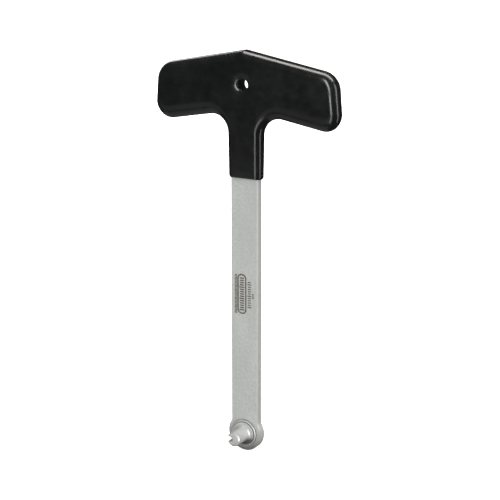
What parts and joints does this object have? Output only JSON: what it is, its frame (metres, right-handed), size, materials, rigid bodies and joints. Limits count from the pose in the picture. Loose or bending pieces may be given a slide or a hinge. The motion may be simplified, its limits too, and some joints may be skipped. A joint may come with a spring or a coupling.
{
  "type": "t-handle pin wrench",
  "caption": "T-handled pin wrench: flat steel strap with a dipped vinyl grip and hang hole, and a notched stub pin riveted through a round eye.",
  "frame": {"origin": "centre of the hang hole, in the middle of the strap's thickness", "axes": "+X runs along the grip's arms, -Y is the side that the stub pin stands out of, +Z runs from the pin up to the grip"},
  "size_m": [0.1398, 0.0246, 0.2788],
  "materials": {
    "strap_steel": "fine blasted satin steel",
    "core_steel": "as-cut mild steel, hidden in the grip",
    "weld_metal": "weld bead ground flush, hidden in the grip",
    "grip_vinyl": "glossy black dipped vinyl",
    "washer_steel": "plain turned washer",
    "pin_steel": "bright turned steel"
  },
  "bodies": {
    "root": {"strap": "strap_steel", "tee_plate": "core_steel", "tee_welds": "weld_metal", "grip": "grip_vinyl", "pin_washer": "washer_steel", "stub_pin": "pin_steel"}
  },
  "joints": []
}
